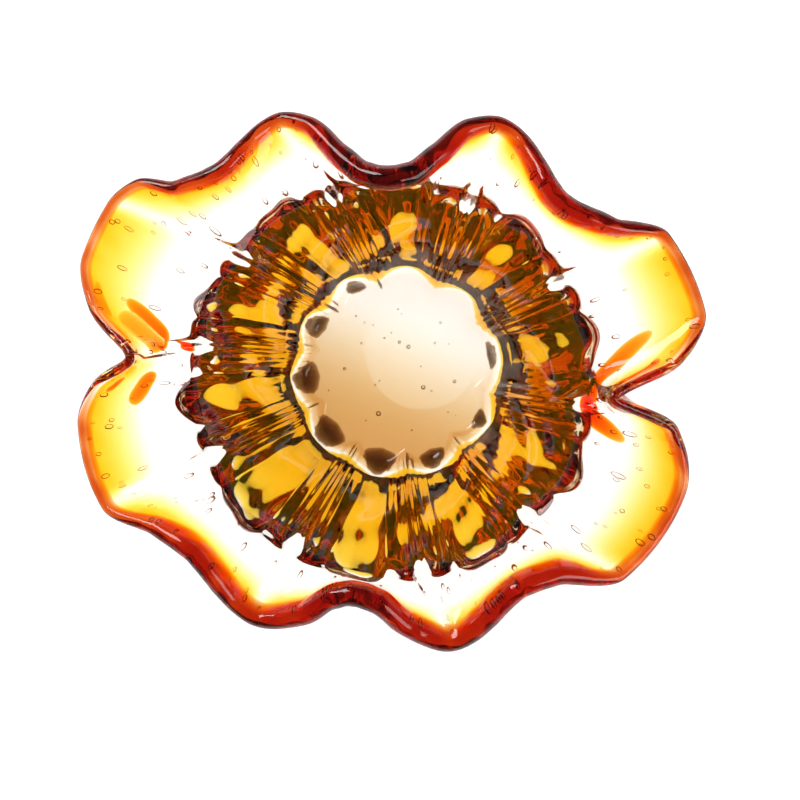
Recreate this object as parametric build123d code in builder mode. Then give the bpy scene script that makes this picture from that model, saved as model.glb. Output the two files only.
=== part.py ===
"""Ruffled art glass bowl: a ribbed amber cup cased in clear glass, with a pinched, flared rim.

Millimetres, +Z up. The origin is the centre of the flat foot; +X runs along the longer way across.
"""
import os
from bisect import bisect_right
from math import cos, exp, hypot, inf, pi, radians, sin

from build123d import *

os.makedirs("parts", exist_ok=True)

# ---- foot and floor ---------------------------------------------------------------------------
FOOT_FLAT_RADIUS = 48.0
FOOT_SIDE_RADIUS = 52.6
FOOT_SIDE_HEIGHT = 2.6
FOOT_PAD_RADIUS = 54.5
FOOT_PAD_HEIGHT = 6.5
CORE_FOOT_RADIUS = 37.0
FLOOR_HEIGHT = 12.0
FLOOR_RADIUS = 39.2
FLOOR_SCALLOP = 5.2
FLOOR_BEND_WIDTH = 0.4
FLOOR_BEND_HEIGHT = 0.9
PONTIL_RADIUS = 24.0
PONTIL_DEPTH = 1.2
PONTIL_X = 10.0
PONTIL_Y = 8.0

# ---- wall centreline, bottom to shoulder --------------------------------------------------------
CORNER_RADIUS = 41.5
CORNER_HEIGHT = 10.5
CORNER_SLOPE = 68.0
SHOULDER_RADIUS = 79.0
SHOULDER_HEIGHT = 67.0
SHOULDER_SLOPE = 52.0

# ---- wall thickness: (share of the way up, thickness), and at the lip (reach of the rim, thickness)
THICKNESS = [(0.0, 11.0), (0.25, 9.5), (0.5, 7.0), (0.75, 5.0), (1.0, 4.4)]
LIP_THICKNESS = [(88.0, 10.0), (106.0, 8.6), (118.0, 5.6), (135.0, 3.8)]
NOTCH_LIP_THICKNESS = 4.2
LIP_SWELL_START = 0.80
LIP_SWELL_END = 0.97

# ---- extra glass low on the outside: (share of the way up between the ribs, thickness) ----------
BASE_SWELL = [
    (0.0, 8.6), (0.12, 8.6), (0.25, 8.0), (0.36, 6.4), (0.45, 4.2), (0.51, 2.2), (0.57, 0.5), (0.63, 0.0),
]

# ---- optic ribs: one runs up the inside of the wall into each crease of the rim -----------------
RIB_ANGLES_AT_FLOOR = [-12.5, 32.5, 65.5, 101.0, 135.0, 166.0, 202.5, 241.0, 275.0, 310.0]
RIB_ANGLES_AT_RIM = [-1.5, 29.0, 67.0, 113.0, 146.0, 173.0, 203.0, 238.5, 284.0, 321.0]
RIB_HEIGHT_INSIDE = [(0.0, 5.5), (0.12, 5.5), (0.25, 4.2), (0.5, 2.6), (0.75, 0.9), (1.0, 0.0)]
RIB_HEIGHT_OUTSIDE = [(0.0, 0.4), (0.15, 1.2), (0.5, 1.2), (0.75, 0.4), (1.0, 0.0)]
RIB_ROUNDING = 0.16

# ---- rim stations round the bowl: (angle, reach, height, lean of the lip above the horizontal) --
RIM = [
    (-1.5, 91.0, 98.0, 100.0),
    (6.0, 117.0, 88.0, 55.0),
    (14.0, 128.8, 80.0, 15.0),
    (29.0, 126.5, 79.0, 20.0),
    (36.0, 113.0, 87.0, 50.0),
    (47.5, 104.8, 93.0, 62.0),
    (67.0, 116.2, 83.0, 35.0),
    (73.0, 111.5, 86.0, 48.0),
    (78.0, 99.7, 91.0, 62.0),
    (84.0, 90.5, 95.0, 72.0),
    (90.0, 88.4, 97.0, 75.0),
    (96.0, 90.5, 95.0, 72.0),
    (102.0, 99.7, 91.0, 62.0),
    (107.0, 112.7, 86.0, 48.0),
    (113.0, 118.0, 83.0, 35.0),
    (127.0, 112.7, 89.0, 55.0),
    (137.0, 119.4, 85.0, 45.0),
    (141.0, 131.0, 81.0, 28.0),
    (147.0, 135.0, 78.0, 15.0),
    (157.0, 134.4, 77.0, 10.0),
    (165.0, 125.3, 81.0, 22.0),
    (173.0, 105.2, 93.0, 78.0),
    (180.0, 120.0, 84.0, 35.0),
    (187.0, 127.0, 79.0, 15.0),
    (195.0, 128.0, 77.0, 12.0),
    (203.0, 126.5, 79.0, 18.0),
    (211.0, 112.7, 87.0, 48.0),
    (221.5, 106.0, 93.0, 62.0),
    (238.5, 111.0, 84.0, 40.0),
    (249.0, 101.7, 90.0, 58.0),
    (255.0, 91.0, 94.0, 70.0),
    (261.0, 87.7, 96.0, 75.0),
    (267.0, 89.8, 95.0, 72.0),
    (275.0, 100.5, 89.0, 58.0),
    (284.0, 108.9, 84.0, 38.0),
    (303.0, 99.0, 94.0, 66.0),
    (312.0, 103.6, 91.0, 58.0),
    (321.0, 121.0, 81.0, 25.0),
    (340.0, 125.3, 78.0, 12.0),
    (352.0, 115.5, 86.0, 50.0),
]

# ---- the two deep notches where the rim was folded in ------------------------------------------
NOTCH_ANGLES = [176.0, 0.0]
NOTCH_HALF_WIDTH = 10.0

# ---- the rim sits a little off the foot, as it was drawn by hand --------------------------------
RIM_SHIFT_X = 0.55
RIM_SHIFT_Y = -1.9

# ---- where one gather of glass ends and the next begins, as a share of the way up the wall ------
CUP_TOP_AT_RIB = 0.41
CUP_TOP_BETWEEN_RIBS = 0.51
CASING_SHARE = 0.40
PARTING = 0.0006

# ---- lower edge of the trail and width of the shading below it: (reach of the rim, share) -------
WRAP_START = [(88.0, 0.84), (106.0, 0.87), (118.0, 0.94), (135.0, 0.972)]
SHADING_WIDTH = [(88.0, 0.10), (106.0, 0.13), (118.0, 0.19), (135.0, 0.26)]

# ---- how finely the glass is drawn --------------------------------------------------------------
RING_POINTS = 100
CUP_RINGS = 7
WALL_RINGS = 6
SHADING_RINGS = 3
WRAP_RINGS = 3


def mix(low, high, share):
    return low + (high - low) * share


def reading(stops, position):
    """Smooth reading of a list of (position, value) stops that never overshoots a stop."""
    last = len(stops) - 2
    index = min(max(bisect_right(stops, (position, inf)) - 1, 0), last)

    def step(i):
        (left, low), (right, high) = stops[min(max(i, 0), last)], stops[min(max(i, 0), last) + 1]
        return (high - low) / (right - left)

    def slope(i):
        before = step(i - 1)
        after = step(i)
        return 2 * before * after / (before + after) if before * after > 0 else 0.0

    (left, low), (right, high) = stops[index], stops[index + 1]
    width = right - left
    t = min(max((position - left) / width, 0.0), 1.0)
    straight = low * (1 + 2 * t) * (1 - t) ** 2 + high * t * t * (3 - 2 * t)
    return straight + width * (slope(index) * t * (1 - t) ** 2 + slope(index + 1) * t * t * (t - 1))


def ease(start, end, position):
    """0 before the start, 1 after the end, and a smooth rise between them."""
    t = min(max((position - start) / (end - start), 0.0), 1.0)
    return t * t * (3 - 2 * t)


RIM_RUNS = [
    [(station[0] + turn, station[column]) for turn in (-360, 0, 360) for station in RIM]
    for column in (1, 2, 3)
]


def rim_at(angle):
    """Reach, height and lean of the lip at an angle."""
    return [reading(run, angle % 360) for run in RIM_RUNS]


def notch_share(angle):
    """1 in the middle of a notch, 0 away from both."""
    away = [(angle - middle + 180) % 360 - 180 for middle in NOTCH_ANGLES]
    return sum(exp(-(turn / NOTCH_HALF_WIDTH) ** 4) for turn in away)


def lip_thickness(angle):
    """The lip is thick where the rim is drawn in and thin where it is pulled far out and in the notches."""
    return mix(reading(LIP_THICKNESS, rim_at(angle)[0]), NOTCH_LIP_THICKNESS, notch_share(angle))


def bezier(points, t):
    """Point on a cubic curve in the (radius, height) plane."""
    weights = ((1 - t) ** 3, 3 * t * (1 - t) ** 2, 3 * t * t * (1 - t), t ** 3)
    return tuple(sum(w * p[axis] for w, p in zip(weights, points)) for axis in (0, 1))


def ahead(point, slope, distance):
    return (point[0] + distance * cos(radians(slope)), point[1] + distance * sin(radians(slope)))


def centreline(angle, level):
    """Middle of the glass at a share of the way up the wall: 0 at the foot, 1 at the lip."""
    shoulder = (SHOULDER_RADIUS, SHOULDER_HEIGHT)
    drift = max(0.0, 2 * level - 1)
    if level <= 0.5:
        corner = (CORNER_RADIUS, CORNER_HEIGHT)
        reach = hypot(shoulder[0] - corner[0], shoulder[1] - corner[1]) / 3
        leaving = ahead(corner, CORNER_SLOPE, reach)
        arriving = ahead(shoulder, SHOULDER_SLOPE, -reach)
        radius, height = bezier([corner, leaving, arriving, shoulder], 2 * level)
    else:
        rim_reach, rim_height, lean = rim_at(angle)
        bead = lip_thickness(angle) / 2
        lip = (rim_reach - bead, rim_height - bead)
        reach = hypot(lip[0] - shoulder[0], lip[1] - shoulder[1]) / 3
        leaving = ahead(shoulder, SHOULDER_SLOPE, reach)
        arriving = ahead(lip, lean, -reach)
        radius, height = bezier([shoulder, leaving, arriving, lip], 2 * level - 1)
    return Vector(
        radius * cos(radians(angle)) + RIM_SHIFT_X * drift,
        radius * sin(radians(angle)) + RIM_SHIFT_Y * drift,
        height,
    )


def outward(angle, level):
    """Unit normal of the centreline surface, pointing to the underside of the bowl."""
    step = 0.01
    low = min(level, 1 - step)
    up_wall = centreline(angle, low + step) - centreline(angle, low)
    round_wall = centreline(angle + 1, level) - centreline(angle - 1, level)
    return round_wall.cross(up_wall).normalized()


def rib_share(angle, level):
    """1 on the ridge of an optic rib, 0 in the middle of the hollow between two ribs."""
    ribs = [mix(a, b, level) for a, b in zip(RIB_ANGLES_AT_FLOOR, RIB_ANGLES_AT_RIM)]
    angle = (angle - ribs[0]) % 360 + ribs[0]
    ribs.append(ribs[0] + 360)
    index = max(i for i in range(len(ribs) - 1) if ribs[i] <= angle)
    phase = pi * (angle - ribs[index]) / (ribs[index + 1] - ribs[index])
    return 1 - (hypot(sin(phase), RIB_ROUNDING) - RIB_ROUNDING) / (hypot(1, RIB_ROUNDING) - RIB_ROUNDING)


def cup_top(angle):
    """Scalloped edge of the ribbed cup: it runs higher between the ribs."""
    return mix(CUP_TOP_BETWEEN_RIBS, CUP_TOP_AT_RIB, rib_share(angle, 0.5))


def thickness(angle, level):
    """Thickness of the wall without its ribs and the extra glass at its base."""
    swell = ease(LIP_SWELL_START, LIP_SWELL_END, level)
    return mix(reading(THICKNESS, level), lip_thickness(angle), swell)


def skin_distance(angle, level, side):
    """Distance from the centreline to the inner (-1) or outer (+1) surface."""
    rib_height = RIB_HEIGHT_INSIDE if side < 0 else RIB_HEIGHT_OUTSIDE
    rib = reading(rib_height, level) * (rib_share(angle, level) - 0.5)
    base = 0.0 if side < 0 else reading(BASE_SWELL, level + CUP_TOP_BETWEEN_RIBS - cup_top(angle))
    return thickness(angle, level) / 2 + rib + base


def closed_ring(point_at):
    """Closed smooth wire through points spaced evenly in angle."""
    with BuildLine() as ring:
        Spline([point_at(360 * i / RING_POINTS) for i in range(RING_POINTS)], periodic=True)
    return ring.wire()


def flat_ring(radius, height, scallop=0.0):
    """Level ring whose radius draws in by the scallop on each rib."""
    def point(angle):
        reach = radius - scallop * rib_share(angle, 0)
        return Vector(reach * cos(radians(angle)), reach * sin(radians(angle)), height)
    return closed_ring(point)


def glass_ring(level_at, offset_at):
    """Ring on the wall at a level for each angle, moved off the centreline along the glass normal."""
    def point(angle):
        level = level_at(angle)
        return centreline(angle, level) + outward(angle, level) * offset_at(angle, level)
    return closed_ring(point)


def underside(angle, level):
    return skin_distance(angle, level, 1)


def inside(angle, level):
    return -skin_distance(angle, level, -1)


def casing_face(angle, level):
    """Face between the amber core and its clear casing."""
    return mix(underside(angle, level), inside(angle, level), CASING_SHARE)


def skin(low_at, high_at, count, offset_at):
    """Rings evenly up the wall between two lines that run round it."""
    return [
        glass_ring(lambda angle: mix(low_at(angle), high_at(angle), step / count), offset_at)
        for step in range(count + 1)
    ]


def lip_ring(turn):
    """Ring on the rounded lip: turn 90 is its underside, 0 its very edge and -90 its inside."""
    def point(angle):
        out = outward(angle, 1)
        rise = centreline(angle, 1) - centreline(angle, 0.98)
        edge = (rise - out * rise.dot(out)).normalized()
        half = lip_thickness(angle) / 2
        return centreline(angle, 1) + edge * half * cos(radians(turn)) + out * half * sin(radians(turn))
    return closed_ring(point)


def glass_solid(skins, caps=()):
    """Closed solid from smooth skins and lone rings, joined end ring to end ring by straight faces."""
    faces = list(caps)
    for rings in skins:
        if len(rings) > 1:
            faces += Shell.make_loft(rings).faces()
    followers = skins[1:] if caps else skins[1:] + skins[:1]
    for before, after in zip(skins, followers):
        faces += Shell.make_loft([before[-1], after[0]], ruled=True).faces()
    return Solid(Shell(faces)).fix()


def foot_level(angle):
    return 0.06


def wrap_edge(angle):
    return reading(WRAP_START, rim_at(angle)[0])


def shading_edge(angle):
    return wrap_edge(angle) - reading(SHADING_WIDTH, rim_at(angle)[0])


def lip_edge(angle):
    return 1.0


def just_above(edge):
    """The same line, a hair higher, where the next gather starts."""
    return lambda angle: edge(angle) + PARTING


# ---- base gather, ground flat to stand on, with the shallow polished pontil hollow --------------
pad_top = flat_ring(FOOT_PAD_RADIUS, FOOT_PAD_HEIGHT)
with BuildPart() as foot_pad:
    with BuildSketch(Plane.XZ):
        with BuildLine():
            Polyline((0, FOOT_PAD_HEIGHT), (0, 0), (FOOT_FLAT_RADIUS, 0))
            Spline(
                (FOOT_FLAT_RADIUS, 0),
                (FOOT_SIDE_RADIUS, FOOT_SIDE_HEIGHT),
                (FOOT_PAD_RADIUS, FOOT_PAD_HEIGHT),
            )
            Line((FOOT_PAD_RADIUS, FOOT_PAD_HEIGHT), (0, FOOT_PAD_HEIGHT))
        make_face()
    revolve(axis=Axis.Z)
    pontil_sphere = (PONTIL_RADIUS ** 2 + PONTIL_DEPTH ** 2) / (2 * PONTIL_DEPTH)
    with Locations((PONTIL_X, PONTIL_Y, PONTIL_DEPTH - pontil_sphere)):
        Sphere(pontil_sphere, mode=Mode.SUBTRACT)
foot_pad.part.label = "foot_pad"
export_step(foot_pad.part, "parts/foot_pad.step")

# ---- ribbed cup: an amber core with the floor, and the clear gather that cases its outside ------
core_foot = flat_ring(CORE_FOOT_RADIUS, FOOT_PAD_HEIGHT)
floor_edge = flat_ring(FLOOR_RADIUS, FLOOR_HEIGHT, FLOOR_SCALLOP)
floor_bend = flat_ring(FLOOR_RADIUS + FLOOR_BEND_WIDTH, FLOOR_HEIGHT + FLOOR_BEND_HEIGHT, FLOOR_SCALLOP)
core_outside = skin(foot_level, cup_top, CUP_RINGS, casing_face)
core_inside = [floor_bend] + skin(foot_level, cup_top, CUP_RINGS, inside)
casing_outside = skin(foot_level, cup_top, CUP_RINGS, underside)

core_solid = glass_solid(
    [[core_foot], core_outside, core_inside[::-1], [floor_edge]], [Face(core_foot), Face(floor_edge)]
)
with BuildPart() as amber_core:
    add(core_solid)
amber_core.part.label = "amber_core"
export_step(amber_core.part, "parts/amber_core.step")

casing_solid = glass_solid([[pad_top], casing_outside, core_outside[::-1], [core_foot]])
with BuildPart() as clear_casing:
    add(casing_solid)
clear_casing.part.label = "clear_casing"
export_step(clear_casing.part, "parts/clear_casing.step")

# ---- thin ruffled wall above the cup ------------------------------------------------------------
wall_outside = skin(just_above(cup_top), shading_edge, WALL_RINGS, underside)
wall_inside = skin(just_above(cup_top), shading_edge, WALL_RINGS, inside)
wall_solid = glass_solid([wall_outside, wall_inside[::-1]])
with BuildPart() as flared_wall:
    add(wall_solid)
flared_wall.part.label = "flared_wall"
export_step(flared_wall.part, "parts/flared_wall.step")

# ---- shaded band under the lip, and the dark trail wrapped round it -----------------------------
shading_outside = skin(just_above(shading_edge), wrap_edge, SHADING_RINGS, underside)
shading_inside = skin(just_above(shading_edge), wrap_edge, SHADING_RINGS, inside)
shading_solid = glass_solid([shading_outside, shading_inside[::-1]])
with BuildPart() as lip_shading:
    add(shading_solid)
lip_shading.part.label = "lip_shading"
export_step(lip_shading.part, "parts/lip_shading.step")

wrap_skin = skin(just_above(wrap_edge), lip_edge, WRAP_RINGS, underside)
wrap_skin += [lip_ring(turn) for turn in (45, 0, -45)]
wrap_skin += skin(just_above(wrap_edge), lip_edge, WRAP_RINGS, inside)[::-1]
wrap_solid = glass_solid([wrap_skin])
with BuildPart() as lip_wrap:
    add(wrap_solid)
lip_wrap.part.label = "lip_wrap"
export_step(lip_wrap.part, "parts/lip_wrap.step")
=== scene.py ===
"""Ruffled art glass bowl, looks: a clear glass skin round coloured gathers, on a light table."""

from math import cos, pi, radians, sin, sqrt

import bmesh
import bpy
import numpy as np
from mathutils import Matrix, Vector


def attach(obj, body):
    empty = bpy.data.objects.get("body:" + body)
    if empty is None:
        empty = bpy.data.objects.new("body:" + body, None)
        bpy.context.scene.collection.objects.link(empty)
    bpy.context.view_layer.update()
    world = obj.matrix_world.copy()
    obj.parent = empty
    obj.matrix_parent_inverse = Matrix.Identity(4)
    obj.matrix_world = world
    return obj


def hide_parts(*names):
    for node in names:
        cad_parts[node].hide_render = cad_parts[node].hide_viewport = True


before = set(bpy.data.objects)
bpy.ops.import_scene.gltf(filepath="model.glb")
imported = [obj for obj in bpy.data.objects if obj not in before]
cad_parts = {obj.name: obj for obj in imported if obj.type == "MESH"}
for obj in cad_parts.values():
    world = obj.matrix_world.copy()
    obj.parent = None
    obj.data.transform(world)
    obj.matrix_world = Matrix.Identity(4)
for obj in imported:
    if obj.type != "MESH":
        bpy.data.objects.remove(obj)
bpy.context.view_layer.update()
MM = 0.001
rng = np.random.default_rng(4711)

# ------------------------------------------------------------------------------------------------
# The bowl's shape, in millimetres: the CAD's meridian and rim stations, with the lip a little inside
# the CAD's. A level is a share of the way up the wall, and pairs of levels are where an eased step
# starts and ends.
# ------------------------------------------------------------------------------------------------
LEVEL_STEP = 0.01
FOOT_FLAT_RADIUS = 48.0
FOOT_PAD_RADIUS = 54.5
FOOT_PAD_HEIGHT = 6.5
FLOOR_HEIGHT = 12.0
FLOOR_RADIUS = 39.2
FLOOR_SCALLOP = 6.0
PONTIL_RADIUS = 24.0
PONTIL_DEPTH = 1.2
PONTIL_X = 10.0
PONTIL_Y = 8.0
CORNER = (41.5, 10.5)
CORNER_SLOPE = 68.0
SHOULDER = (79.0, 67.0)
SHOULDER_SLOPE = 52.0
RIM_SHIFT = (0.55, -1.9)
THICKNESS = ((0.0, 0.25, 0.5, 0.75, 1.0), (11.0, 9.5, 7.0, 5.0, 4.4))
LIP_SLACK = 0.65
LIP_SWELL_FROM = 0.80
LIP_SWELL_TO = 0.97
REACH_STOPS = (88.0, 106.0, 118.0, 135.0)
LIP_THICKNESS = (REACH_STOPS, (10.0, 8.6, 5.6, 3.8))
NOTCH_LIP = 4.2
NOTCH_ANGLES = (176.0, 0.0)
NOTCH_WIDTH = 10.0
NOTCH_STEEPNESS = 4
RIBS_FLOOR = np.array([-12.5, 32.5, 65.5, 101.0, 135.0, 166.0, 202.5, 241.0, 275.0, 310.0])
RIBS_RIM = np.array([-1.5, 29.0, 67.0, 113.0, 146.0, 173.0, 203.0, 238.5, 284.0, 321.0])
RIB_INSIDE = ((0.0, 0.12, 0.25, 0.5, 0.75, 1.0), (5.5, 5.5, 4.2, 2.6, 0.9, 0.0))
RIB_OUTSIDE = ((0.0, 0.15, 0.5, 0.75, 1.0), (0.4, 1.2, 1.2, 0.4, 0.0))
RIB_ROUNDING = 0.16
# stations round the rim: angle in degrees, reach, height and the lean of the glass there in degrees
RIM = np.array([
    (-1.5, 91.0, 98.0, 100.0), (6.0, 117.0, 88.0, 55.0), (14.0, 128.8, 80.0, 15.0),
    (29.0, 126.5, 79.0, 20.0), (36.0, 113.0, 87.0, 50.0), (47.5, 104.8, 93.0, 62.0),
    (67.0, 116.2, 83.0, 35.0), (73.0, 111.5, 86.0, 48.0), (78.0, 99.7, 91.0, 62.0),
    (84.0, 90.5, 95.0, 72.0), (90.0, 88.4, 97.0, 75.0), (96.0, 90.5, 95.0, 72.0),
    (102.0, 99.7, 91.0, 62.0), (107.0, 112.7, 86.0, 48.0), (113.0, 118.0, 83.0, 35.0),
    (127.0, 112.7, 89.0, 55.0), (137.0, 119.4, 85.0, 45.0), (141.0, 131.0, 81.0, 28.0),
    (147.0, 135.0, 78.0, 15.0), (157.0, 134.4, 77.0, 10.0), (165.0, 125.3, 81.0, 22.0),
    (173.0, 105.2, 93.0, 78.0), (180.0, 120.0, 84.0, 35.0), (187.0, 127.0, 79.0, 15.0),
    (195.0, 128.0, 77.0, 12.0), (203.0, 126.5, 79.0, 18.0), (211.0, 112.7, 87.0, 48.0),
    (221.5, 106.0, 93.0, 62.0), (238.5, 111.0, 84.0, 40.0), (249.0, 101.7, 90.0, 58.0),
    (255.0, 91.0, 94.0, 70.0), (261.0, 87.7, 96.0, 75.0), (267.0, 89.8, 95.0, 72.0),
    (275.0, 100.5, 89.0, 58.0), (284.0, 108.9, 84.0, 38.0), (303.0, 99.0, 94.0, 66.0),
    (312.0, 103.6, 91.0, 58.0), (321.0, 121.0, 81.0, 25.0), (340.0, 125.3, 78.0, 12.0),
    (352.0, 115.5, 86.0, 50.0),
])


def periodic(stations, angle, columns):
    """Smooth monotone run through (angle, value...) stations, closed every 360 degrees."""
    a = np.concatenate([stations[-1:, 0] - 360, stations[:, 0], stations[:2, 0] + 360])
    angle = (angle - stations[0, 0]) % 360 + stations[0, 0]
    k = np.clip(np.searchsorted(a, angle, side="right") - 1, 1, len(stations))
    width = np.diff(a)
    t = (angle - a[k]) / width[k]
    out = []
    for c in columns:
        v = np.concatenate([stations[-1:, c], stations[:, c], stations[:2, c]])
        d = np.diff(v) / width
        before, after = d[:-1], d[1:]
        slope = np.zeros(len(v))
        same = before * after > 0
        slope[1:-1][same] = (2 * before * after)[same] / (before + after)[same]
        out.append(
            v[k] * (1 + 2 * t) * (1 - t) ** 2 + v[k + 1] * t * t * (3 - 2 * t)
            + width[k] * (slope[k] * t * (1 - t) ** 2 + slope[k + 1] * t * t * (t - 1))
        )
    return out


def bezier(points, t):
    """Point of a cubic curve at t, as a pair of radius and height."""
    w = ((1 - t) ** 3, 3 * t * (1 - t) ** 2, 3 * t * t * (1 - t), t ** 3)
    return [sum(wi * p[i] for wi, p in zip(w, points)) for i in (0, 1)]


def ahead(point, slope, distance):
    """Point at a distance from another along a slope in degrees."""
    s = np.radians(slope)
    return (point[0] + distance * np.cos(s), point[1] + distance * np.sin(s))


def notch(angle):
    """1 in the two notches where the rim was folded in, 0 away from them."""
    share = 0.0
    for middle in NOTCH_ANGLES:
        away = (angle - middle + 180) % 360 - 180
        share = share + np.exp(-(away / NOTCH_WIDTH) ** NOTCH_STEEPNESS)
    return share


def lip_thickness(angle):
    """Thick where the rim is drawn in, thin where it is pulled far out and in the notches."""
    bead = along(LIP_THICKNESS, periodic(RIM, angle, (1,))[0])
    return bead + (NOTCH_LIP - bead) * notch(angle)


def centreline(angle, level):
    """Middle of the glass; angle in degrees and level 0..1 are arrays of one shape."""
    corner, shoulder = CORNER, SHOULDER
    reach = np.hypot(shoulder[0] - corner[0], shoulder[1] - corner[1]) / 3
    after_corner = ahead(corner, CORNER_SLOPE, reach)
    before_shoulder = ahead(shoulder, SHOULDER_SLOPE, -reach)
    low = bezier([corner, after_corner, before_shoulder, shoulder], np.clip(2 * level, 0, 1))
    r, z, lean = periodic(RIM, angle, (1, 2, 3))
    bead = lip_thickness(angle) / 2
    lip = (r - bead - LIP_SLACK, z - bead - LIP_SLACK)
    reach = np.hypot(lip[0] - shoulder[0], lip[1] - shoulder[1]) / 3
    past_shoulder = np.clip(2 * level - 1, 0, 1)
    after_shoulder = ahead(shoulder, SHOULDER_SLOPE, reach)
    high = bezier([shoulder, after_shoulder, ahead(lip, lean, -reach), lip], past_shoulder)
    upper = level > 0.5
    radius = np.where(upper, high[0], low[0])
    height = np.where(upper, high[1], low[1])
    a = np.radians(angle)
    x = radius * np.cos(a) + RIM_SHIFT[0] * past_shoulder
    y = radius * np.sin(a) + RIM_SHIFT[1] * past_shoulder
    return np.stack([x, y, height], -1)


def along(stops, x):
    """Smooth monotone reading of (positions, values): no kinks to catch the light."""
    a, v = np.array(stops[0], float), np.array(stops[1], float)
    x = np.clip(x, a[0], a[-1])
    k = np.clip(np.searchsorted(a, x, side="right") - 1, 0, len(a) - 2)
    width = np.diff(a)
    d = np.diff(v) / width
    slope = np.concatenate([d[:1], np.zeros(len(a) - 2), d[-1:]])
    same = d[:-1] * d[1:] > 0
    slope[1:-1][same] = (2 * d[:-1] * d[1:])[same] / (d[:-1] + d[1:])[same]
    t = (x - a[k]) / width[k]
    return (v[k] * (1 + 2 * t) * (1 - t) ** 2 + v[k + 1] * t * t * (3 - 2 * t)
            + width[k] * (slope[k] * t * (1 - t) ** 2 + slope[k + 1] * t * t * (t - 1)))


def unit(v):
    """Vector of length one."""
    return v / np.maximum(np.linalg.norm(v, axis=-1, keepdims=True), 1e-12)


def outward(angle, level):
    """Direction straight out of the wall."""
    low = np.minimum(level, 1 - LEVEL_STEP)
    up = centreline(angle, low + LEVEL_STEP) - centreline(angle, low)
    across = centreline(angle + 1, level) - centreline(angle - 1, level)
    return unit(np.cross(across, up))


def rib_phase(angle, level):
    """0 on a rib, 0.5 in the hollow and 1 on the next rib."""
    shape = np.broadcast(angle, level).shape
    angle = np.broadcast_to(angle, shape).astype(float)
    level = np.broadcast_to(level, shape)
    ribs = RIBS_FLOOR[:, None] + (RIBS_RIM - RIBS_FLOOR)[:, None] * level.reshape(1, -1)
    ribs = np.vstack([ribs, ribs[:1] + 360])
    a = (angle.reshape(-1) - ribs[0]) % 360 + ribs[0]
    k = np.clip((a[None] >= ribs).sum(0) - 1, 0, len(RIBS_FLOOR) - 1)
    i = np.arange(a.size)
    phase = (a - ribs[k, i]) / (ribs[k + 1, i] - ribs[k, i])
    return phase.reshape(shape)


def off_rib(angle, level):
    """Distance from the nearest rib, as a share of the way to the next one."""
    return np.abs((rib_phase(angle, level) + 0.5) % 1 - 0.5)


def rib_share(angle, level):
    """1 on a rib's back, 0 in the hollow between two ribs."""
    s = np.hypot(np.sin(pi * rib_phase(angle, level)), RIB_ROUNDING) - RIB_ROUNDING
    return 1 - s / (np.hypot(1, RIB_ROUNDING) - RIB_ROUNDING)


def smooth(a, b, x):
    """Eased step: 0 up to a, 1 from b on."""
    t = np.clip((x - a) / (b - a), 0, 1)
    return t * t * (3 - 2 * t)


def thickness(angle, level):
    """Depth of the plain wall, swelling to the bead of the lip."""
    wall = along(THICKNESS, level)
    lip = lip_thickness(angle)
    return wall + (lip - wall) * smooth(LIP_SWELL_FROM, LIP_SWELL_TO, level)


def waves(angle, level, seed, count, around, up):
    """Gentle seeded unevenness of hand-worked glass: a few long waves round and up the wall."""
    r = np.random.default_rng(seed)
    total = 0
    for _ in range(count):
        n = r.integers(around[0], around[1] + 1)
        m = r.uniform(*up)
        start = r.uniform(0, 2 * pi)
        total = total + np.sin(np.radians(angle) * n + 2 * pi * m * level + start) * r.uniform(0.5, 1)
    return total / np.sqrt(count)


# unevenness: height, seed, number of waves, turns round the bowl, turns up the wall
FINE_WAVES = (0.10, 11, 5, (37, 83), (-0.7, 0.7))
BROAD_WAVES = (0.42, 21, 6, (11, 31), (-2.5, 2.5))
ROLL_WAVES = (0.30, 51, 5, (4, 13), (3, 7))
CALM_WAVES = (0.09, 31, 5, (5, 17), (-2, 2))
TRAIL_WAVES = (0.16, 61, 7, (23, 91), (1, 7))
CUP_END = (0.62, 0.35)
TRAIL_START = (0.86, 0.94)

FINGERS_PER_HOLLOW = 3
FINGER_CROWDING = 0.45
FINGER_ROUNDING = 0.004
FINGER_HEIGHT = ((0.0, 0.06, 0.2, 0.40, 0.50, 0.55, 0.60, 1.0), (0.0, 0.9, 1.5, 2.2, 2.0, 0.8, 0.0, 0.0))
BULGE = ((0.0, 0.12, 0.25, 0.36, 0.45, 0.50, 0.535, 0.565, 0.62, 1.0),
         (8.6, 8.6, 8.0, 6.6, 4.6, 3.4, 1.6, 0.3, 0.0, 0.0))
TIP_LEVEL = 0.55
TIP_LOWEST = 0.415
TIP_RISE_IN_HOLLOW = 0.10
TIP_RISE_ON_FINGER = 0.045
TIP_POWER = 1.5
TIP_WAVES = (0.034, 43, 5, (7, 29), (0, 0))
FINGER_WAVES = (0.35, 42, 4, (7, 19), (-0.2, 0.2))

FAN_HEIGHT = 0.36
FAN_RIDGES = 9.0
FAN_WIDTH = 0.22
FAN_TOP = (0.62, 0.3)
FAN_BOTTOM = (-0.05, 0.12)

CREASE_HEIGHT = 1.3
CREASE_WIDTH = 0.04
CREASE_BOTTOM = (0.45, 0.58)
CREASE_TOP = (1.0, 0.9)


def uneven(angle, level, kind, side=0):
    """One row of unevenness; each skin has its own."""
    height, seed, count, around, up = kind
    return height * waves(angle, level, seed + side, count, around, up)


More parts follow.
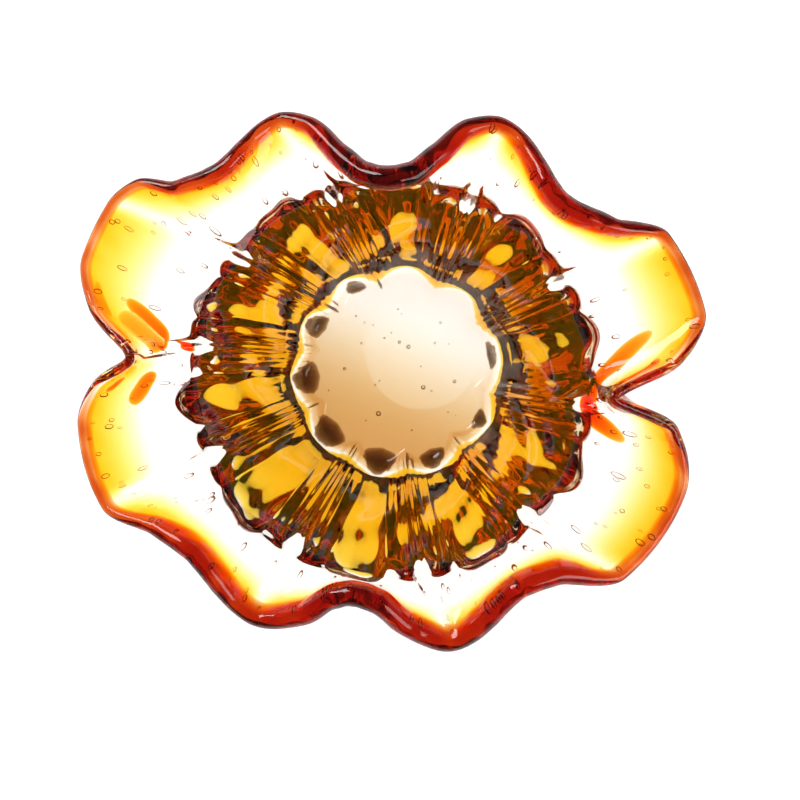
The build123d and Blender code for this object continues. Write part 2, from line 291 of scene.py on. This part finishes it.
def skin_offset(angle, level, side):
    """Distance from the centreline to the inner (-1) or outer (+1) surface of the finished glass."""
    rib = along(RIB_INSIDE if side < 0 else RIB_OUTSIDE, level) * (rib_share(angle, level) - 0.5)
    cup = smooth(*CUP_END, level)
    worked = sum(uneven(angle, level, kind, side) for kind in (FINE_WAVES, BROAD_WAVES, ROLL_WAVES)) * cup
    calm = uneven(angle, level, CALM_WAVES, side) * (1 - cup)
    trail = uneven(angle, level, TRAIL_WAVES, side) * smooth(*TRAIL_START, level)
    drawn = fingers(angle, level) if side > 0 else fans(angle, level)
    return thickness(angle, level) / 2 + rib + worked + calm + drawn + trail + crease(angle, level)


def finger_ridge(angle, level):
    """1 on the back of a finger, 0 in the groove beside it; a groove lies on every rib."""
    phase = rib_phase(angle, level)
    phase = phase + FINGER_CROWDING * np.sin(2 * pi * phase) / (2 * pi)
    return np.sqrt(0.5 - 0.5 * np.cos(2 * pi * FINGERS_PER_HOLLOW * phase) + FINGER_ROUNDING)


def finger_tip(angle):
    """Share of the way up the wall where the fingers end: uneven, rounded tips, lower at the ribs."""
    middle = np.full_like(angle, 0.5)
    hollow = 1 - rib_share(angle, middle)
    tip = TIP_LOWEST + TIP_RISE_IN_HOLLOW * hollow ** TIP_POWER
    return tip + TIP_RISE_ON_FINGER * finger_ridge(angle, middle) + uneven(angle, middle, TIP_WAVES) * hollow


def fingers(angle, level):
    """The outside of the cup: a heavy base drawn up into upright fingers that end in rounded tips."""
    place = level - finger_tip(angle) + TIP_LEVEL
    height = along(FINGER_HEIGHT, place) * (1 + uneven(angle, level, FINGER_WAVES))
    return height * (finger_ridge(angle, level) - 0.5) + along(BULGE, place)


def fans(angle, level):
    """Fine ridges that fan out on both sides of each inner rib."""
    near = off_rib(angle, level)
    fine = np.cos(near * 2 * pi * FAN_RIDGES) * np.exp(-(near / FAN_WIDTH) ** 2)
    return FAN_HEIGHT * fine * smooth(*FAN_TOP, level) * smooth(*FAN_BOTTOM, level)


def crease(angle, level):
    """Narrow fold that runs on from each rib up the flare to the rim."""
    fold = np.exp(-(off_rib(angle, level) / CREASE_WIDTH) ** 2)
    return CREASE_HEIGHT * fold * smooth(*CREASE_BOTTOM, level) * smooth(*CREASE_TOP, level)


# ------------------------------------------------------------------------------------------------
# Mesh building
# ------------------------------------------------------------------------------------------------
AROUND = 720


def angles():
    """Angles of the points of a ring, in degrees."""
    return np.arange(AROUND) * (360 / AROUND)


def grid_mesh(name, rings, close_start=None, close_end=None, torus=False):
    """Quads between closed rings of points; fans close the ends, or the last ring joins the first."""
    rings = [np.asarray(r) for r in rings]
    n = len(rings[0])
    verts = np.concatenate(rings) * MM
    faces = []
    rows = len(rings)
    pairs = rows if torus else rows - 1
    i = np.arange(n)
    j = (i + 1) % n
    for k in range(pairs):
        a, b = k * n, ((k + 1) % rows) * n
        faces.append(np.stack([a + i, a + j, b + j, b + i], 1))
    faces = np.concatenate(faces).tolist()
    verts = verts.tolist()
    if close_start is not None:
        verts.append([c * MM for c in close_start])
        c = len(verts) - 1
        faces += [[c, int(y), int(x)] for x, y in zip(i, j)]
    if close_end is not None:
        verts.append([c * MM for c in close_end])
        c = len(verts) - 1
        a = (rows - 1) * n
        faces += [[c, int(a + x), int(a + y)] for x, y in zip(i, j)]
    mesh = bpy.data.meshes.new(name)
    mesh.from_pydata(verts, [], faces)
    mesh.validate()
    mesh.polygons.foreach_set("use_smooth", [True] * len(mesh.polygons))
    mesh.update()
    piece = bpy.data.objects.new(name, mesh)
    bpy.context.scene.collection.objects.link(piece)
    return piece


def point_outward(piece):
    """Turns all faces outward."""
    bm = bmesh.new()
    bm.from_mesh(piece.data)
    bmesh.ops.recalc_face_normals(bm, faces=bm.faces)
    if bm.calc_volume(signed=True) < 0:
        bmesh.ops.reverse_faces(bm, faces=bm.faces)
    bm.to_mesh(piece.data)
    bm.free()
    piece.data.polygons.foreach_set("use_smooth", [True] * len(piece.data.polygons))
    piece.data.update()


def wall_row(level, side):
    """Ring of one skin at a level of the wall."""
    a = angles()
    lv = np.full_like(a, level)
    return centreline(a, lv) + outward(a, lv) * (side * skin_offset(a, lv, side))[:, None]


def flat_row(radius, height, scallop=0.0):
    """Level ring round the bowl's axis, drawn in at the ribs by the scallop."""
    a = angles()
    r = radius - scallop * rib_share(a, np.zeros_like(a))
    return np.stack([r * np.cos(np.radians(a)), r * np.sin(np.radians(a)), np.full_like(a, height)], -1)


def lip_row(turn, share=1.0):
    """Ring round the lip: turn 90 is its underside, 0 its edge, -90 its inside; share draws it in."""
    a = angles()
    one = np.ones_like(a)
    out = outward(a, one)
    rise = centreline(a, one) - centreline(a, one - 2 * LEVEL_STEP)
    edge = unit(rise - out * (rise * out).sum(-1, keepdims=True))
    t = radians(turn)
    side = skin_offset(a, one, 1 if turn > 0 else -1) * share
    ahead_by = thickness(a, one) / 2 * share
    return centreline(a, one) + edge * ahead_by[:, None] * cos(t) + out * side[:, None] * sin(t)


def pontil_row(radius):
    """Ring of the shallow polished hollow under the foot, off the bowl's axis."""
    a = angles()
    x = PONTIL_X + radius * np.cos(np.radians(a))
    y = PONTIL_Y + radius * np.sin(np.radians(a))
    return np.stack([x, y, np.full_like(a, PONTIL_DEPTH * max(0.0, 1 - (radius / PONTIL_RADIUS) ** 2))], -1)


LIP_TURNS = (75, 60, 45, 30, 15, 0, -15, -30, -45, -60, -75)
WALL_LEVELS = np.concatenate([np.linspace(0.05, 0.5, 70), np.linspace(0.5, 1.0, 60)[1:]])
PONTIL_RINGS = (1.5, 5, 9, 13, 16, 19, 21.5, 23, PONTIL_RADIUS)
FOOT_FLAT_STEPS = (0.3, 0.7, 1.0)
FOOT_EDGE_RINGS = 8
FOOT_EDGE_BULGE = 0.8
FOOT_EDGE_RISE = 1.05
FLOOR_BEND_STEPS = (0.25, 0.5, 0.7, 0.85, 1.0)
FLOOR_BEND_DIP = 0.6
FLOOR_STEPS = (0.94, 0.85, 0.7, 0.5, 0.3, 0.12)

# the rings run out under the foot, up the outside, over the lip, and down the inside to the floor
rings = [pontil_row(radius) for radius in PONTIL_RINGS]
rings += [rings[-1] * (1 - s) + flat_row(FOOT_FLAT_RADIUS, 0.0) * s for s in FOOT_FLAT_STEPS]
for s in np.linspace(0, 1, FOOT_EDGE_RINGS + 1)[1:]:
    spread = (FOOT_PAD_RADIUS - FOOT_FLAT_RADIUS) * sin(s * pi / 2) ** FOOT_EDGE_BULGE
    rise = FOOT_PAD_HEIGHT * (1 - cos(s * pi / 2)) ** FOOT_EDGE_RISE
    rings.append(flat_row(FOOT_FLAT_RADIUS + spread, rise))
rings += [wall_row(level, 1) for level in WALL_LEVELS]
rings += [lip_row(turn) for turn in LIP_TURNS]
rings += [wall_row(level, -1) for level in WALL_LEVELS[::-1]]
wall_foot = rings[-1]
floor_edge = flat_row(FLOOR_RADIUS, FLOOR_HEIGHT, FLOOR_SCALLOP)
for s in FLOOR_BEND_STEPS:
    dip = np.array([0, 0, FLOOR_BEND_DIP * sin(pi * s)])
    rings.append(wall_foot * (1 - s) + floor_edge * s - dip * (1 - s))
rings += [floor_edge * np.array([s, s, 1]) for s in FLOOR_STEPS]
glass = grid_mesh("glass_body", rings, close_start=(PONTIL_X, PONTIL_Y, PONTIL_DEPTH),
                  close_end=(0, 0, FLOOR_HEIGHT))
point_outward(glass)


# ------------------------------------------------------------------------------------------------
# Bubbles
# ------------------------------------------------------------------------------------------------
BUBBLE_SEGMENTS = 12
BUBBLE_RINGS = 7
BUBBLE_ROOM = 0.84
BUBBLE_FLATNESS = 0.7
FLARE_BUBBLES = 150
LIP_BUBBLES = 90
FLOOR_BUBBLES = 26
FLOOR_BUBBLE_REACH = 31


def bubble(centre, axes):
    """Closed ellipsoid on three half axes: trapped air, or a dark drop of painted shade."""
    turns = 2 * pi * np.arange(BUBBLE_SEGMENTS) / BUBBLE_SEGMENTS
    tilts = pi * np.arange(1, BUBBLE_RINGS) / BUBBLE_RINGS
    verts = [centre + axes[2]]
    for tilt in tilts:
        middle = centre + cos(tilt) * axes[2]
        verts += [middle + sin(tilt) * (np.cos(t) * axes[0] + np.sin(t) * axes[1]) for t in turns]
    verts.append(centre - axes[2])
    last = len(verts) - 1
    faces = []
    for i in range(BUBBLE_SEGMENTS):
        j = (i + 1) % BUBBLE_SEGMENTS
        faces.append((0, 1 + j, 1 + i))
        for k in range(BUBBLE_RINGS - 2):
            a = 1 + k * BUBBLE_SEGMENTS
            b = a + BUBBLE_SEGMENTS
            faces.append((a + i, a + j, b + j, b + i))
        a = 1 + (BUBBLE_RINGS - 2) * BUBBLE_SEGMENTS
        faces.append((a + i, a + j, last))
    return verts, faces


def wall_bubble(angle, level, depth, length, width):
    """Bubble drawn out along the wall, as the glass was stretched."""
    a = np.array([angle], float)
    lv = np.array([level], float)
    n = outward(a, lv)[0]
    rise = unit(centreline(a, lv + LEVEL_STEP)[0] - centreline(a, lv)[0])
    side = np.cross(n, rise)
    inn, out = -skin_offset(a, lv, -1)[0], skin_offset(a, lv, 1)[0]
    thin = min(width * BUBBLE_FLATNESS, BUBBLE_ROOM * (out - inn) * min(depth, 1 - depth))
    centre = centreline(a, lv)[0] + n * (inn + (out - inn) * depth)
    return bubble(centre, (side * width, n * thin, rise * length))


# each bubble in the wall has an angle, a level, a depth between the skins, a length and a width
bubbles = []
for _ in range(FLARE_BUBBLES):
    stretch = rng.uniform(1.2, 3.0)
    size = 0.4 + 0.85 * rng.random() ** 2.0
    bubbles.append(wall_bubble(rng.uniform(0, 360), rng.uniform(0.56, 0.93), rng.uniform(0.35, 0.65),
                               size * stretch, size))
for _ in range(LIP_BUBBLES):
    size = rng.uniform(0.5, 1.3)
    bubbles.append(wall_bubble(rng.uniform(0, 360), rng.uniform(0.93, 0.985), rng.uniform(0.25, 0.7),
                               size * rng.uniform(1.0, 1.8), size))
for _ in range(FLOOR_BUBBLES):
    r = FLOOR_BUBBLE_REACH * sqrt(rng.random())
    t = rng.uniform(0, 2 * pi)
    size = 0.35 + 0.9 * rng.random() ** 2.5
    centre = np.array([r * cos(t), r * sin(t), rng.uniform(8.0, 10.0)])
    bubbles.append(bubble(centre, np.eye(3) * size))


def add_bubbles(piece, shells):
    """Adds the bubbles' shells to the glass as voids, so their faces look inward."""
    verts = [v.co[:] for v in piece.data.vertices]
    faces = [p.vertices[:] for p in piece.data.polygons]
    for shell, shell_faces in shells:
        start = len(verts)
        points = np.array(shell) * MM
        centre = points.mean(0)
        f = shell_faces[1]
        normal = np.cross(points[f[1]] - points[f[0]], points[f[2]] - points[f[0]])
        outward_looking = normal.dot(points[f[0]] - centre) > 0
        verts += points.tolist()
        faces += [tuple(start + i for i in (face[::-1] if outward_looking else face)) for face in shell_faces]
    mesh = bpy.data.meshes.new(piece.name)
    mesh.from_pydata(verts, [], faces)
    mesh.polygons.foreach_set("use_smooth", [True] * len(mesh.polygons))
    mesh.update()
    piece.data = mesh


add_bubbles(glass, bubbles)


# ------------------------------------------------------------------------------------------------
# Inner coloured gathers: closed bodies inside the glass that only tint the light passing through them
# ------------------------------------------------------------------------------------------------
GATHER_END = 0.1
GATHER_THINNEST = 0.0004
FADE_START = 0.01


def rounded_end(away):
    """Thickness near the end of a gather, away from it by a share of its length."""
    return np.sqrt(np.clip(1 - ((GATHER_END - away) / GATHER_END) ** 2, GATHER_THINNEST, 1))


def gather(name, low, high, inner, outer, rows, fade=None, thin=None, over_lip=None):
    """Closed ring-shaped body between two lines round the wall; inner and outer are shares of the depth.

    fade is the power with which it thickens from its lower edge, thin(angle, level) scales its depth,
    and over_lip is the share of the lip that it fills.
    """
    a = angles()
    start, end = low(a), high(a)
    mid, half = (inner + outer) / 2, (outer - inner) / 2
    rows_out, rows_in = [], []
    for s in np.linspace(0, 1, rows):
        scale = 1.0
        if over_lip is None and s > 1 - GATHER_END:
            scale = rounded_end(1 - s)
        if fade is not None:
            scale *= FADE_START + (1 - FADE_START) * s ** fade
        elif s < GATHER_END:
            scale *= rounded_end(s)
        level = start + (end - start) * s
        if thin is not None:
            scale = scale * thin(a, level)
        out, inn = skin_offset(a, level, 1), -skin_offset(a, level, -1)
        middle, n = centreline(a, level), outward(a, level)
        rows_out.append(middle + n * (inn + (out - inn) * (mid + half * scale))[:, None])
        rows_in.append(middle + n * (inn + (out - inn) * (mid - half * scale))[:, None])
    round_lip = [] if over_lip is None else [lip_row(turn, over_lip(a)) for turn in LIP_TURNS]
    piece = grid_mesh(name, rows_out + round_lip + rows_in[::-1], torus=True)
    point_outward(piece)
    return piece


def at_level(level):
    """Level line round the wall."""
    return lambda a: np.full_like(a, level)


AMBER_START = 0.06
AMBER_BELOW_TIPS = 0.035
WRAP_START = (REACH_STOPS, (0.84, 0.87, 0.94, 0.972))
SHADING_WIDTH = (REACH_STOPS, (0.10, 0.13, 0.19, 0.26))
SHADING_END = 0.99
# painted highlight: the yellow tint is left out along each crease
CREASE_HIGHLIGHT_WIDTH = 0.075
CREASE_HIGHLIGHT_CUT = 0.93
WRAP_MEAN = 0.80
WRAP_WAVES = (0.16, 71, 7, (9, 61), (3, 12))
WRAP_THINNEST = 0.3
WRAP_LOST_IN_NOTCH = 0.88
WRAP_ON_LIP = 1.1
WRAP_MOST_ON_LIP = 0.95


def amber_top(a):
    """The amber ends a little below the tips of the fingers."""
    return finger_tip(a) - AMBER_BELOW_TIPS


def wrap_low(a):
    """Lower edge of the lip trail: it reaches further down where the rim is drawn in."""
    return along(WRAP_START, periodic(RIM, a, (1,))[0])


def shading_low(a):
    """Lower edge of the shaded band under the trail."""
    return wrap_low(a) - along(SHADING_WIDTH, periodic(RIM, a, (1,))[0])


def shading_depth_crease_highlight(a, level):
    """The tint is cut to nearly nothing along each crease: a painted highlight down each fold."""
    return 1 - CREASE_HIGHLIGHT_CUT * np.exp(-(off_rib(a, level) / CREASE_HIGHLIGHT_WIDTH) ** 2)


def wrap_depth(a, level):
    """The trail was laid on unevenly, and it thins out to nearly nothing in the notches."""
    laid = WRAP_MEAN + uneven(a, level, WRAP_WAVES)
    return np.clip(laid, WRAP_THINNEST, 1.0) * (1 - WRAP_LOST_IN_NOTCH * notch(a))


def wrap_over_lip(a):
    """Share of the lip that the trail fills."""
    return np.minimum(wrap_depth(a, np.ones_like(a)) * WRAP_ON_LIP, WRAP_MOST_ON_LIP)


amber = gather("amber_core_glass", at_level(AMBER_START), amber_top, 0.03, 0.60, 46)
shading = gather("lip_shading_glass", shading_low, at_level(SHADING_END), 0.06, 0.5, 40, fade=1.6,
                 thin=shading_depth_crease_highlight)
wrap = gather("lip_wrap_glass", wrap_low, at_level(1.0), 0.04, 0.96, 30, fade=0.9,
              thin=wrap_depth, over_lip=wrap_over_lip)


# ------------------------------------------------------------------------------------------------
# Flames in the notches, tinted floor with painted shade, and dark pools of painted shade
# ------------------------------------------------------------------------------------------------
STROKE_SEGMENTS = 14
STROKE_STEPS = 10
STROKE_BLUNTNESS = 4


def stroke(path, width, depth=0.5, share=0.62):
    """Streak of hot colour inside the wall: a flattened tube along (angle, level) points.

    depth is where it lies between the two skins, and share is how much of the wall's depth it fills.
    """
    path = np.array(path, float)
    path[:, 0] = np.degrees(np.unwrap(np.radians(path[:, 0])))
    steps = np.linspace(0, len(path) - 1, STROKE_STEPS * len(path))
    at = np.arange(len(path))
    turn = along((at, path[:, 0]), steps)
    level = along((at, path[:, 1]), steps)
    inn, out = -skin_offset(turn, level, -1), skin_offset(turn, level, 1)
    n = outward(turn, level)
    middle = centreline(turn, level) + n * (inn + (out - inn) * depth)[:, None]
    side = unit(np.cross(n, np.gradient(middle, axis=0)))
    taper = np.sqrt(np.clip(1 - (2 * steps / steps[-1] - 1) ** STROKE_BLUNTNESS, 0.0, 1))[:, None]
    thick = 0.5 * share * (out - inn)[:, None]
    turns = 2 * pi * np.arange(STROKE_SEGMENTS) / STROKE_SEGMENTS
    rings = [middle + taper * (side * width * np.cos(t) + n * thick * np.sin(t)) for t in turns]
    rings = np.stack(rings, 1)[1:-1]
    verts = np.concatenate([[middle[0]], rings.reshape(-1, 3), [middle[-1]]])
    faces = []
    last = len(verts) - 1
    for i in range(STROKE_SEGMENTS):
        j = (i + 1) % STROKE_SEGMENTS
        faces.append((0, 1 + i, 1 + j))
        for k in range(len(rings) - 1):
            a = 1 + k * STROKE_SEGMENTS
            b = a + STROKE_SEGMENTS
            faces.append((a + i, b + i, b + j, a + j))
        a = 1 + (len(rings) - 1) * STROKE_SEGMENTS
        faces.append((a + j, a + i, last))
    return verts, faces


# each flame has a path and a half width
FLAMES = [
    stroke([(162.0, 0.84), (165.0, 0.76), (168.0, 0.715), (171.5, 0.755)], 3.2),
    stroke([(165.0, 0.88), (168.0, 0.83), (170.5, 0.79), (172.0, 0.76)], 4.6, depth=0.25, share=0.3),
    stroke([(176.5, 0.75), (180.5, 0.765), (184.5, 0.80)], 3.2),
    stroke([(177.5, 0.90), (179.5, 0.905), (181.0, 0.935)], 1.2),
    stroke([(169.5, 0.65), (170.2, 0.59), (170.5, 0.54)], 0.8),
    stroke([(160.5, 0.955), (163.5, 0.95), (166.5, 0.94)], 1.6, share=0.25),
    stroke([(12.0, 0.81), (9.0, 0.735), (4.5, 0.665), (358.5, 0.60), (354.5, 0.54), (351.0, 0.565),
            (348.5, 0.65), (346.5, 0.735)], 3.8),
    stroke([(6.0, 0.88), (3.0, 0.90), (359.0, 0.88)], 2.2),
]


def joined(name, shells):
    """One piece from several closed shells."""
    verts, faces = [], []
    for shell, shell_faces in shells:
        faces += [tuple(len(verts) + i for i in face) for face in shell_faces]
        verts += (np.array(shell) * MM).tolist()
    mesh = bpy.data.meshes.new(name)
    mesh.from_pydata(verts, [], faces)
    piece = bpy.data.objects.new(name, mesh)
    bpy.context.scene.collection.objects.link(piece)
    point_outward(piece)
    return piece


flames = joined("notch_flames_glass", FLAMES)

HONEY_TOP = 11.4
HONEY_RADIUS = 49.5
HONEY_SCALLOP = 1.2
HONEY_EDGE = 7.4
HONEY_THINNEST = 0.3
# painted shade: the floor's tint thickens towards one side
HONEY_SHADE_WEDGE = 8.6
SHADE_FALL_SPAN = (26, -34)
SHADE_DOWNHILL = (0.37, 0.93)
HONEY_ROLL = (0.80, 0.95)
HONEY_ROLL_THINNING = 0.45
HONEY_OUT = np.linspace(0.04, 1.0, 60)
HONEY_BACK = (1.0, 0.97, 0.94, 0.90, 0.86, 0.82, 0.78, 0.7, 0.4, 0.15)
# painted highlight: the tint is thinner above the pontil hollow
PONTIL_HIGHLIGHT_THINNING = 0.26
PONTIL_HIGHLIGHT_EDGE = 0.4


def honey_depth_with_painted_light(x, y):
    """The tinted layer in the floor: a wedge, thin at one side, as painted shade across the floor, and
    thinner above the pontil hollow as a painted highlight.
    """
    shade_fall = smooth(*SHADE_FALL_SPAN, SHADE_DOWNHILL[0] * x + SHADE_DOWNHILL[1] * y)
    away = np.hypot(x - PONTIL_X, y - PONTIL_Y)
    pontil = smooth(PONTIL_RADIUS + PONTIL_HIGHLIGHT_EDGE, PONTIL_RADIUS - PONTIL_HIGHLIGHT_EDGE, away)
    return HONEY_THINNEST + HONEY_SHADE_WEDGE * shade_fall * (1 - PONTIL_HIGHLIGHT_THINNING * pontil)


def honey_row(share, lowered):
    """Ring of the tinted layer at a share of its radius; its rim rolls down into the foot."""
    row = flat_row(HONEY_RADIUS * share, HONEY_TOP, HONEY_SCALLOP * share)
    roll = smooth(*HONEY_ROLL, share)
    x, y = row[:, 0], row[:, 1]
    row[:, 2] -= (HONEY_TOP - HONEY_EDGE) * roll
    if lowered:
        row[:, 2] -= honey_depth_with_painted_light(x, y) * (1 - HONEY_ROLL_THINNING * roll)
    return row


# the floor's own honey tint, with painted shade and a painted highlight in its depth
honey_rings = [honey_row(share, True) for share in HONEY_OUT]
honey_rings += [honey_row(share, False) for share in HONEY_BACK]
honey_low = HONEY_TOP - float(honey_depth_with_painted_light(0.0, 0.0))
floor_tint_and_shade = grid_mesh("foot_pad_glass", honey_rings, close_start=(0, 0, honey_low),
                       close_end=(0, 0, HONEY_TOP))
point_outward(floor_tint_and_shade)

# painted shade: dark drops put in the foot where the hollows show dark
SHADE_POOL_SPREAD = 1.35
SHADE_POOL_DEPTH = 2.2


def shade_pool(angle, radius, width, length, height):
    """Flattened dark drop at the foot of a hollow, as painted shade; length runs along the radius."""
    turn = radians(angle)
    out = np.array([cos(turn), sin(turn), 0.0])
    across = np.array([-sin(turn), cos(turn), 0.0])
    centre = out * radius + np.array([0, 0, height])
    return bubble(centre, (across * width * SHADE_POOL_SPREAD, out * length, np.array([0, 0, SHADE_POOL_DEPTH])))


# each painted shade pool has an angle, a distance from the axis, a half breadth, a half length and a height
shade_pools = [shade_pool(184, 42.5, 7.6, 9.6, 5.6), shade_pool(150, 43.0, 6.6, 8.0, 6.0), shade_pool(221, 43.0, 8.6, 9.4, 5.6),
         shade_pool(258, 42.6, 8.4, 9.8, 5.4), shade_pool(292, 43.0, 6.8, 8.0, 5.6), shade_pool(330, 43.4, 5.4, 6.6, 5.8),
         shade_pool(116, 43.4, 5.0, 6.2, 6.0), shade_pool(10, 43.6, 6.4, 5.4, 5.8)]
painted_shade_pools = joined("dark_pools_glass", shade_pools)


# ------------------------------------------------------------------------------------------------
# Materials
# ------------------------------------------------------------------------------------------------
DENSITY_MARGIN = 1.02
GLASS = 1.5
TINT_ONLY = 1.0


def glass_material(name, ior, absorb):
    """Clear dielectric; absorb is per-metre loss in red, green and blue."""
    mat = bpy.data.materials.new(name)
    mat.use_nodes = True
    nodes, links = mat.node_tree.nodes, mat.node_tree.links
    shader = nodes["Principled BSDF"]
    shader.inputs["Base Color"].default_value = (1, 1, 1, 1)
    shader.inputs["Roughness"].default_value = 0.0
    shader.inputs["IOR"].default_value = ior
    shader.inputs["Transmission Weight"].default_value = 1.0
    density = max(absorb) * DENSITY_MARGIN
    volume = nodes.new("ShaderNodeVolumeAbsorption")
    volume.inputs["Density"].default_value = density
    volume.inputs["Color"].default_value = (*[1 - c / density for c in absorb], 1)
    links.new(volume.outputs["Volume"], nodes["Material Output"].inputs["Volume"])
    return mat


# each piece with the name of its glass, its index of refraction and its loss of light
LOOKS = (
    (glass, "clear_glass", GLASS, (1.2, 3.4, 8.0)),
    (amber, "amber", TINT_ONLY, (15.0, 74.0, 440.0)),
    (floor_tint_and_shade, "honey", TINT_ONLY, (40.0, 105.0, 230.0)),
    (shading, "yellow", TINT_ONLY, (8.0, 430.0, 2800.0)),
    (wrap, "ruby", TINT_ONLY, (150.0, 680.0, 1300.0)),
    (painted_shade_pools, "painted_shade_umber", TINT_ONLY, (560.0, 760.0, 1000.0)),
    (flames, "flame", TINT_ONLY, (40.0, 640.0, 2400.0)),
)
for piece, name, ior, absorb in LOOKS:
    piece.data.materials.append(glass_material(name, ior, absorb))
    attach(piece, "root")

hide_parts("clear_casing", "flared_wall")
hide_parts("amber_core")
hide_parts("foot_pad")
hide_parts("foot_pad")
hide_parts("lip_shading")
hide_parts("lip_wrap")
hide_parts("flared_wall")


# ------------------------------------------------------------------------------------------------
# Light table, world, lamps and camera
# ------------------------------------------------------------------------------------------------
TABLE_RADIUS = 6
TABLE_HEIGHT = -0.0005
TABLE_CORNERS = 96
TABLE_ROUGHNESS = 0.6
TABLE_GLOW = 0.95

corners = [2 * pi * i / TABLE_CORNERS for i in range(TABLE_CORNERS)]
table_edge = [(TABLE_RADIUS * cos(t), TABLE_RADIUS * sin(t), TABLE_HEIGHT) for t in corners]
mesh = bpy.data.meshes.new("light_table")
mesh.from_pydata(table_edge, [], [list(range(TABLE_CORNERS))])
light_table = bpy.data.objects.new("light_table", mesh)
bpy.context.scene.collection.objects.link(light_table)
mat = bpy.data.materials.new("light_table")
mat.use_nodes = True
shader = mat.node_tree.nodes["Principled BSDF"]
shader.inputs["Base Color"].default_value = (0.9, 0.9, 0.9, 1)
shader.inputs["Roughness"].default_value = TABLE_ROUGHNESS
shader.inputs["Emission Color"].default_value = (1, 1, 1, 1)
shader.inputs["Emission Strength"].default_value = TABLE_GLOW
light_table.data.materials.append(mat)

# the room is bright at the level of the table and dark overhead
ROOM_LOW = (0.80, 0.79, 0.78, 1)
ROOM_HIGH = (0.10, 0.09, 0.08, 1)
ROOM_FADE_END = 0.30

world = bpy.data.worlds.new("studio")
bpy.context.scene.world = world
world.use_nodes = True
nodes, links = world.node_tree.nodes, world.node_tree.links
coord = nodes.new("ShaderNodeTexCoord")
split = nodes.new("ShaderNodeSeparateXYZ")
fade = nodes.new("ShaderNodeValToRGB")
fade.color_ramp.elements[0].position = 0.0
fade.color_ramp.elements[0].color = ROOM_LOW
fade.color_ramp.elements[1].position = ROOM_FADE_END
fade.color_ramp.elements[1].color = ROOM_HIGH
links.new(coord.outputs["Generated"], split.inputs["Vector"])
links.new(split.outputs["Z"], fade.inputs["Fac"])
links.new(fade.outputs["Color"], nodes["Background"].inputs["Color"])
nodes["Background"].inputs["Strength"].default_value = 1.0

LAMP_TARGET = (0, 0, 0.05)


def soft_box(name, position, size, power):
    """Rectangular lamp turned to the bowl."""
    data = bpy.data.lights.new(name, "AREA")
    data.shape = "RECTANGLE"
    data.size, data.size_y = size
    data.energy = power
    lamp = bpy.data.objects.new(name, data)
    bpy.context.scene.collection.objects.link(lamp)
    lamp.location = position
    lamp.rotation_euler = (Vector(LAMP_TARGET) - Vector(position)).to_track_quat("-Z", "Y").to_euler()


soft_box("key_light", (-0.7, 0.8, 0.9), (0.5, 0.7), 9)
soft_box("fill_light", (0.9, -0.5, 0.8), (0.6, 0.6), 4)

# the camera looks down on the plane of the rim, a few degrees off the vertical
VIEW_WIDTH = 0.3152
VIEW_CENTRE = (0.004925, -0.006304, 0.085)
VIEW_DISTANCE = 1.1
TILT_X, TILT_Y = 3.2, 4.3
SENSOR_WIDTH = 36

target = Vector(VIEW_CENTRE)
toward = Vector((np.tan(radians(TILT_X)), np.tan(radians(TILT_Y)), 1)).normalized()
eye = target + toward * VIEW_DISTANCE
forward = -toward
right = forward.cross(Vector((0, 1, 0))).normalized()
up = right.cross(forward).normalized()
data = bpy.data.cameras.new("camera")
data.sensor_width = SENSOR_WIDTH
data.lens = SENSOR_WIDTH * VIEW_DISTANCE / VIEW_WIDTH
camera = bpy.data.objects.new("camera", data)
bpy.context.scene.collection.objects.link(camera)
camera.matrix_world = Matrix.Translation(eye) @ Matrix((right, up, -forward)).transposed().to_4x4()
bpy.context.scene.camera = camera

scene = bpy.context.scene
scene.view_settings.view_transform = "Standard"
scene.cycles.max_bounces = 40
scene.cycles.transmission_bounces = 36
scene.cycles.glossy_bounces = 12
scene.cycles.diffuse_bounces = 4
scene.cycles.volume_bounces = 0
scene.cycles.transparent_max_bounces = 16
